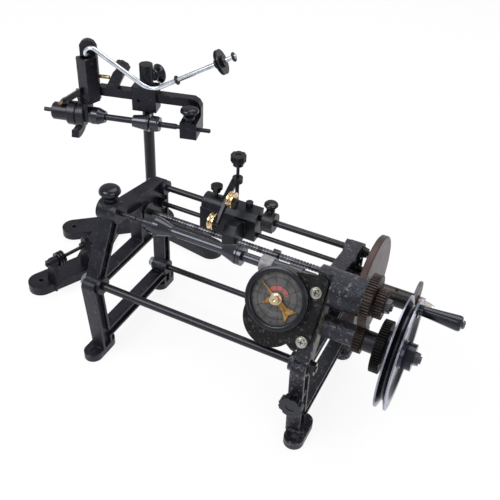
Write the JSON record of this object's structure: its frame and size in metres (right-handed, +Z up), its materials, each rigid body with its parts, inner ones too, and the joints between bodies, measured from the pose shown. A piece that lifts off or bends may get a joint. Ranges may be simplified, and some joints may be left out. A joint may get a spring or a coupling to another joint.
{
  "type": "wire coil winding machine",
  "caption": "Bench machine that winds wire coils between two cones, with handwheel, gears, turn counter, traverse carriage and a separate spool stand with a tension arm.",
  "frame": {"origin": "centre of the left front foot's bolt hole, on the bench", "axes": "+X along the machine from the left end frame to the handwheel, +Y to the back, +Z up"},
  "size_m": [0.6456, 0.3345, 0.3119],
  "materials": {
    "black_casting": "satin black enamel on cast iron",
    "headstock_casting": "worn black enamel on cast iron",
    "black_steel": "blackened steel",
    "bright_steel": "ground bright steel",
    "zinc": "zinc-plated fasteners",
    "chrome": "polished chrome",
    "brass": "polished brass",
    "bronze": "sintered bronze bushes",
    "black_plastic": "gloss black phenolic",
    "gear_steel": "oiled dark steel",
    "gear_black": "blackened steel",
    "brown_iron": "brown oxidised cast iron",
    "wheel": "black wheel with polished rim",
    "dial_grey": "light grey dial with dark ticks",
    "ring_grey": "light grey ring",
    "rubber": "black rubber"
  },
  "bodies": {
    "machine": {"left_end_frame": "black_casting", "headstock_frame": "headstock_casting", "shaft_bushes": "bronze", "tie_rods": "black_steel", "guide_rods": "black_steel", "tie_rod_nuts": "zinc", "disc_axle": "bright_steel", "axle_collar_nut": "gear_steel", "counter_housing": "black_casting", "counter_dial": "dial_grey", "counter_screws": "zinc", "stand_base": "black_casting", "stand_post": "black_steel", "wire_guide_lugs": "black_casting"},
    "drive": {"drive_shaft": "bright_steel", "drive_small_gear": "gear_steel", "drive_large_gear": "gear_black", "drive_sleeves": "gear_steel", "handwheel": "wheel", "wheel_nut_and_crank_pin": "zinc"},
    "grip": {"crank_grip": "black_plastic"},
    "spindle": {"winding_spindle": "black_steel", "winding_cones": "black_steel", "mandrel_tubes": "black_steel", "mandrel_ring": "ring_grey", "spindle_large_gear": "gear_steel", "spindle_pinion": "gear_steel", "spindle_nut": "gear_steel"},
    "tail_centre": {"tail_pin": "bright_steel"},
    "tail_knob": {"tail_lock_knob": "black_plastic"},
    "leg_clamp_knob": {"leg_knob": "black_plastic"},
    "long_hand": {"counter_long_hand": "brass"},
    "short_hand": {"counter_short_hand": "brass"},
    "disc": {"friction_disc": "brown_iron", "disc_tube": "gear_black", "disc_pulley": "gear_black"},
    "screw": {"lead_screw": "bright_steel"},
    "carriage": {"carriage_body": "black_casting", "roller_arm": "black_steel"},
    "roller_high": {"upper_roller": "brass"},
    "roller_low": {"lower_roller": "brass"},
    "carriage_clamp": {"carriage_star_knob": "black_plastic"},
    "carriage_stud_knob": {"carriage_small_knob": "black_plastic"},
    "stop": {"stop_block": "black_casting"},
    "stop_clamp": {"stop_knob": "black_plastic"},
    "head": {"head_casting": "black_casting", "tension_box": "black_casting", "box_screws": "brass"},
    "post_clamp": {"head_clamp_knob": "black_plastic"},
    "box_clamp": {"box_clamp_knob": "black_plastic"},
    "spool_line": {"spool_spindle": "black_steel", "spool_cones": "black_steel", "brake_drum": "black_steel"},
    "spool_centre": {"centre_pin": "black_steel"},
    "spool_centre_knob": {"centre_knob": "black_plastic"},
    "dancer_arm": {"tension_arm": "chrome", "arm_rings": "rubber"},
    "dancer_wheel": {"arm_wheel": "black_plastic"},
    "brake": {"brake_lever": "black_casting"},
    "guide_pulley": {"wire_guide_pulley": "black_plastic"}
  },
  "joints": [
    {"name": "drive_spin", "type": "hinge", "parent": "machine", "child": "drive", "pos_m": [0.3, 0.03999, 0.15551], "axis": [1, 0, 0], "continuous": true},
    {"name": "grip_spin", "type": "hinge", "parent": "drive", "child": "grip", "pos_m": [0.4, 0.07307, 0.19098], "axis": [1, 0, 0], "continuous": true},
    {"name": "spindle_spin", "type": "hinge", "parent": "machine", "child": "spindle", "pos_m": [0.2, 0.057, 0.195], "axis": [1, 0, 0], "continuous": true},
    {"name": "tail_centre_slide", "type": "slide", "parent": "machine", "child": "tail_centre", "axis": [1, 0, 0], "range_m": [-0.013, 0]},
    {"name": "tail_knob_turn", "type": "hinge", "parent": "machine", "child": "tail_knob", "pos_m": [0.004, 0.057, 0.215], "axis": [0, 0, 1], "range_deg": [-180, 180]},
    {"name": "leg_knob_turn", "type": "hinge", "parent": "machine", "child": "leg_clamp_knob", "pos_m": [0.2755, -0.005, 0.069], "axis": [0, 1, 0], "range_deg": [-180, 180]},
    {"name": "long_hand_turn", "type": "hinge", "parent": "machine", "child": "long_hand", "pos_m": [0.2336, 0.02656, 0.18115], "axis": [0, -0.8762, 0.4819], "continuous": true},
    {"name": "short_hand_turn", "type": "hinge", "parent": "machine", "child": "short_hand", "pos_m": [0.2336, 0.02656, 0.18115], "axis": [0, -0.8762, 0.4819], "continuous": true},
    {"name": "disc_spin", "type": "hinge", "parent": "machine", "child": "disc", "pos_m": [0.3, 0.138, 0.141], "axis": [1, 0, 0], "continuous": true},
    {"name": "lead_screw_spin", "type": "hinge", "parent": "machine", "child": "screw", "pos_m": [0.1, 0.1235, 0.155], "axis": [1, 0, 0], "continuous": true},
    {"name": "carriage_slide", "type": "slide", "parent": "machine", "child": "carriage", "axis": [1, 0, 0], "range_m": [-0.05, 0.003]},
    {"name": "upper_roller_spin", "type": "hinge", "parent": "carriage", "child": "roller_high", "pos_m": [0.124, 0.132, 0.207], "axis": [1, 0, 0], "continuous": true},
    {"name": "lower_roller_spin", "type": "hinge", "parent": "carriage", "child": "roller_low", "pos_m": [0.112, 0.107, 0.187], "axis": [1, 0, 0], "continuous": true},
    {"name": "carriage_star_turn", "type": "hinge", "parent": "carriage", "child": "carriage_clamp", "pos_m": [0.117, 0.16, 0.24], "axis": [0, 0, 1], "range_deg": [-180, 180]},
    {"name": "carriage_knob_turn", "type": "hinge", "parent": "carriage", "child": "carriage_stud_knob", "pos_m": [0.089, 0.16, 0.19], "axis": [0, 0, 1], "range_deg": [-180, 180]},
    {"name": "stop_slide", "type": "slide", "parent": "machine", "child": "stop", "axis": [1, 0, 0], "range_m": [0, 0.08]},
    {"name": "stop_knob_turn", "type": "hinge", "parent": "stop", "child": "stop_clamp", "pos_m": [0.1635, 0.16, 0.19], "axis": [0, 0, 1], "range_deg": [-180, 180]},
    {"name": "head_swivel", "type": "hinge", "parent": "machine", "child": "head", "pos_m": [-0.089, 0.28, 0.22], "axis": [0, 0, 1], "range_deg": [-60, 60]},
    {"name": "post_clamp_turn", "type": "hinge", "parent": "head", "child": "post_clamp", "pos_m": [-0.08171, 0.29862, 0.252], "axis": [0.3644, 0.9312, 0], "range_deg": [-180, 180]},
    {"name": "box_clamp_turn", "type": "hinge", "parent": "head", "child": "box_clamp", "pos_m": [-0.12431, 0.27021, 0.25871], "axis": [0.4309, 0.1195, 0.8944], "range_deg": [-180, 180]},
    {"name": "spool_spin", "type": "hinge", "parent": "head", "child": "spool_line", "pos_m": [-0.08259, 0.25687, 0.195], "axis": [0.9636, 0.2672, 0], "continuous": true},
    {"name": "spool_centre_slide", "type": "slide", "parent": "head", "child": "spool_centre", "axis": [0.9636, 0.2672, 0], "range_m": [0, 0.015]},
    {"name": "spool_knob_turn", "type": "hinge", "parent": "head", "child": "spool_centre_knob", "pos_m": [-0.01706, 0.27504, 0.215], "axis": [0, 0, 1], "range_deg": [-180, 180]},
    {"name": "dancer_swing", "type": "hinge", "parent": "head", "child": "dancer_arm", "pos_m": [-0.16058, 0.24251, 0.256], "axis": [0.2672, -0.9636, 0], "range_deg": [-8, 8]},
    {"name": "dancer_wheel_spin", "type": "hinge", "parent": "dancer_arm", "child": "dancer_wheel", "pos_m": [0.02204, 0.29315, 0.29629], "axis": [0.8424, 0.2336, 0.4856], "continuous": true},
    {"name": "brake_swing", "type": "hinge", "parent": "head", "child": "brake", "pos_m": [-0.18534, 0.25318, 0.21435], "axis": [0.9636, 0.2672, 0], "range_deg": [-4, 4]},
    {"name": "guide_pulley_spin", "type": "hinge", "parent": "machine", "child": "guide_pulley", "pos_m": [-0.11636, 0.08827, 0.052], "axis": [0.2841, 0.9588, 0], "continuous": true}
  ],
  "couplings": [
    {"joint": "spindle_spin", "follows": "drive_spin", "ratio": -0.53571},
    {"joint": "long_hand_turn", "follows": "drive_spin", "ratio": -0.0053571},
    {"joint": "short_hand_turn", "follows": "drive_spin", "ratio": -0.00053571}
  ]
}
